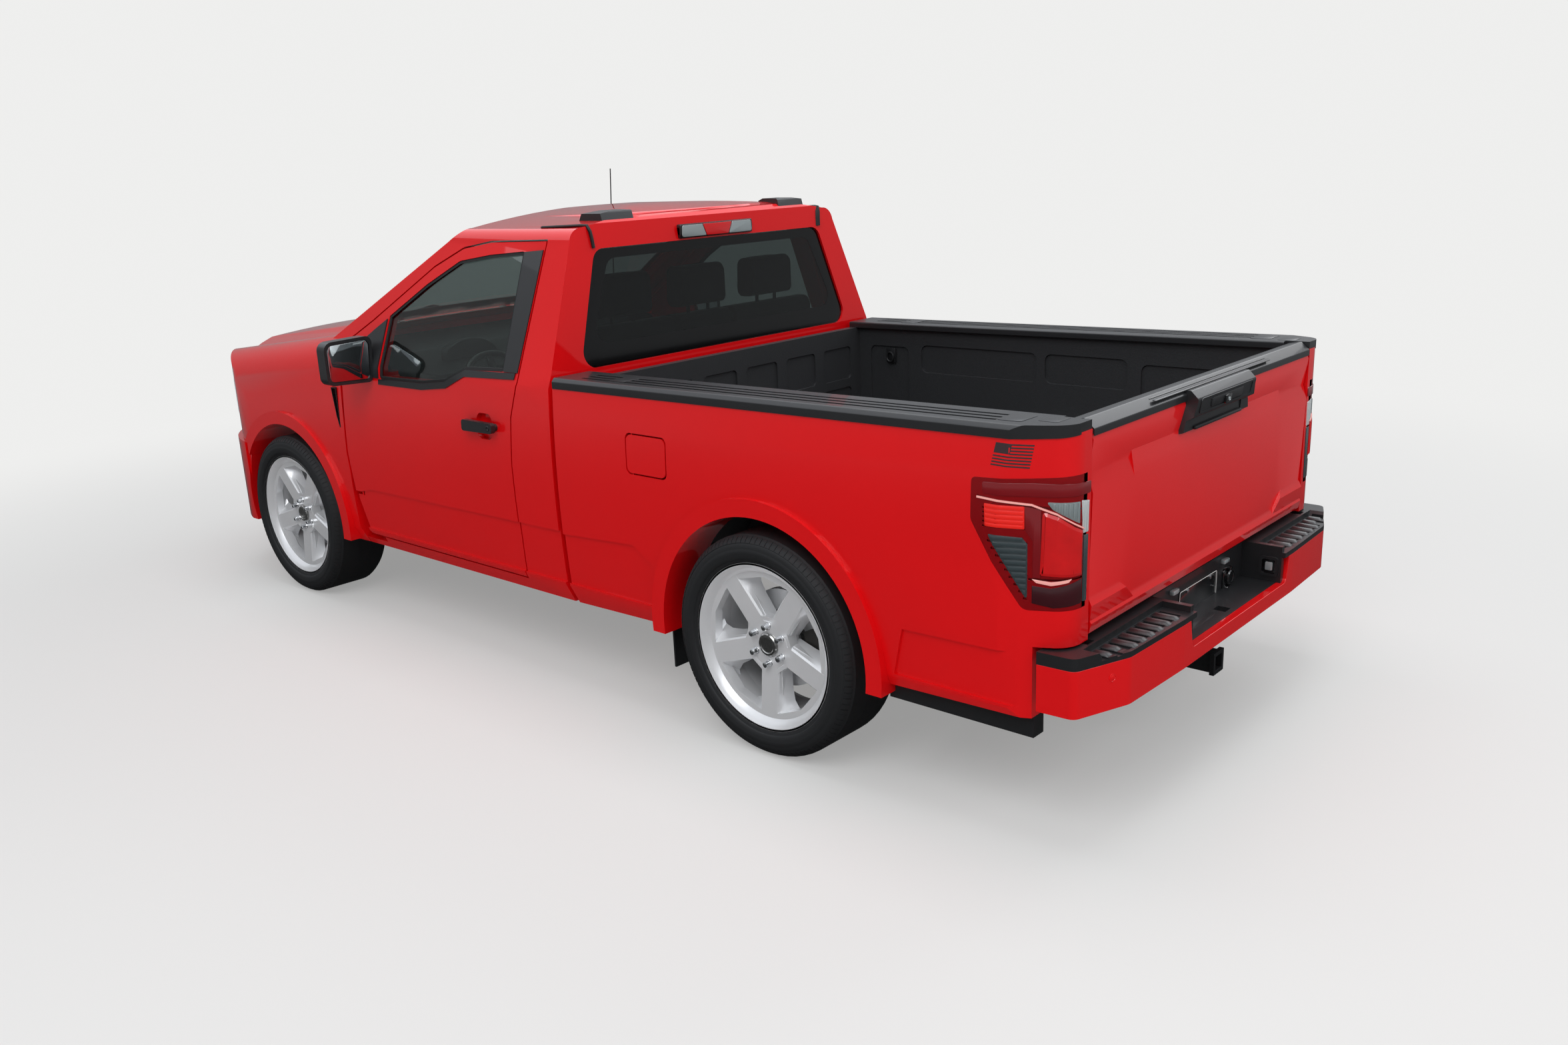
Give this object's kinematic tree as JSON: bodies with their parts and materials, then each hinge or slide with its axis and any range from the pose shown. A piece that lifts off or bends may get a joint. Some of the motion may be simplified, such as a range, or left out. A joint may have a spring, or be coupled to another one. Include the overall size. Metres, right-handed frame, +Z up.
{
  "type": "pickup truck",
  "caption": "Red regular-cab pickup truck with a short bed, lowered on large silver spoked wheels, with doors, hood, tailgate, steering and wheels that move.",
  "frame": {"origin": "on the ground under the middle of the truck's bounding box", "axes": "+Z up, the truck faces -Y, its left side is +X"},
  "size_m": [2.4056, 5.3069, 1.9842],
  "materials": {
    "paint": "gloss",
    "glass": "gloss",
    "black_plastic": "textured",
    "lens": "gloss",
    "clear_lens": "gloss",
    "liner": "textured",
    "wheel_metal": "satin",
    "tyre": "matte",
    "steel": "painted black",
    "iron": "matte",
    "cabin": "textured",
    "fabric": "woven"
  },
  "bodies": {
    "body": {"cab_shell": "paint", "cab_floor": "cabin", "windshield": "glass", "rear_window": "glass", "front_bumper": "paint", "fenders": "paint", "headlights": "clear_lens", "grille": "black_plastic", "cowl": "black_plastic", "taillights": "lens", "bed_box": "liner", "rail_caps": "black_plastic", "bed_sides": "paint", "rear_bumper": "paint", "bumper_step": "black_plastic", "frame": "steel", "engine": "iron", "rear_axle": "iron", "front_suspension": "iron", "fuel_tank": "black_plastic", "exhaust": "steel", "hitch_receiver": "steel", "receiver_tube": "steel", "dashboard": "cabin", "seats": "fabric", "body_trim": "black_plastic"},
    "hood": {"hood": "paint"},
    "door_left": {"door_left": "paint", "side_glass_left": "glass", "door_trim_left": "black_plastic"},
    "door_right": {"door_right": "paint", "side_glass_right": "glass", "door_trim_right": "black_plastic"},
    "tailgate": {"tailgate": "paint", "tailgate_cap": "black_plastic"},
    "fuel_flap": {"fuel_flap": "paint"},
    "steering_wheel": {"steering_wheel": "cabin"},
    "knuckle_left": {"knuckle_left": "iron"},
    "knuckle_right": {"knuckle_right": "iron"},
    "wheel_front_left": {"rim_front_left": "wheel_metal", "tyre_front_left": "tyre"},
    "wheel_front_right": {"rim_front_right": "wheel_metal", "tyre_front_right": "tyre"},
    "wheel_rear_left": {"rim_rear_left": "wheel_metal", "tyre_rear_left": "tyre"},
    "wheel_rear_right": {"rim_rear_right": "wheel_metal", "tyre_rear_right": "tyre"}
  },
  "joints": [
    {"name": "steer_left", "type": "hinge", "parent": "body", "child": "knuckle_left", "pos_m": [0.79, -1.7105, 0.395], "axis": [0, 0, 1], "range_deg": [-32, 32]},
    {"name": "steer_right", "type": "hinge", "parent": "body", "child": "knuckle_right", "pos_m": [-0.79, -1.7105, 0.395], "axis": [0, 0, 1], "range_deg": [-32, 32]},
    {"name": "steering_wheel_turn", "type": "hinge", "parent": "body", "child": "steering_wheel", "pos_m": [0.4, -0.7355, 1], "axis": [0, 0.9063, 0.4226], "range_deg": [-500, 500]},
    {"name": "wheel_front_left_spin", "type": "hinge", "parent": "knuckle_left", "child": "wheel_front_left", "pos_m": [0.8725, -1.7105, 0.395], "axis": [1, 0, 0], "continuous": true},
    {"name": "wheel_front_right_spin", "type": "hinge", "parent": "knuckle_right", "child": "wheel_front_right", "pos_m": [-0.8725, -1.7105, 0.395], "axis": [1, 0, 0], "continuous": true},
    {"name": "wheel_rear_left_spin", "type": "hinge", "parent": "body", "child": "wheel_rear_left", "pos_m": [0.8725, 1.4085, 0.395], "axis": [1, 0, 0], "continuous": true},
    {"name": "wheel_rear_right_spin", "type": "hinge", "parent": "body", "child": "wheel_rear_right", "pos_m": [-0.8725, 1.4085, 0.395], "axis": [1, 0, 0], "continuous": true},
    {"name": "door_left_hinge", "type": "hinge", "parent": "body", "child": "door_left", "pos_m": [0.985, -1.0705, 0.8], "axis": [0, 0, -1], "range_deg": [0, 65]},
    {"name": "door_right_hinge", "type": "hinge", "parent": "body", "child": "door_right", "pos_m": [-0.985, -1.0705, 0.8], "axis": [0, 0, 1], "range_deg": [0, 65]},
    {"name": "hood_hinge", "type": "hinge", "parent": "body", "child": "hood", "pos_m": [0, -1.3305, 1.266], "axis": [-1, 0, 0], "range_deg": [0, 50]},
    {"name": "tailgate_hinge", "type": "hinge", "parent": "body", "child": "tailgate", "pos_m": [0, 2.5045, 0.652], "axis": [-1, 0, 0], "range_deg": [0, 90]},
    {"name": "fuel_flap_hinge", "type": "hinge", "parent": "body", "child": "fuel_flap", "pos_m": [0.99163, 0.82, 1], "axis": [0.0396, 0, -0.9992], "range_deg": [0, 100]}
  ],
  "couplings": [
    {"joint": "steer_right", "follows": "steer_left", "ratio": 1},
    {"joint": "steering_wheel_turn", "follows": "steer_left", "ratio": 15.4}
  ]
}
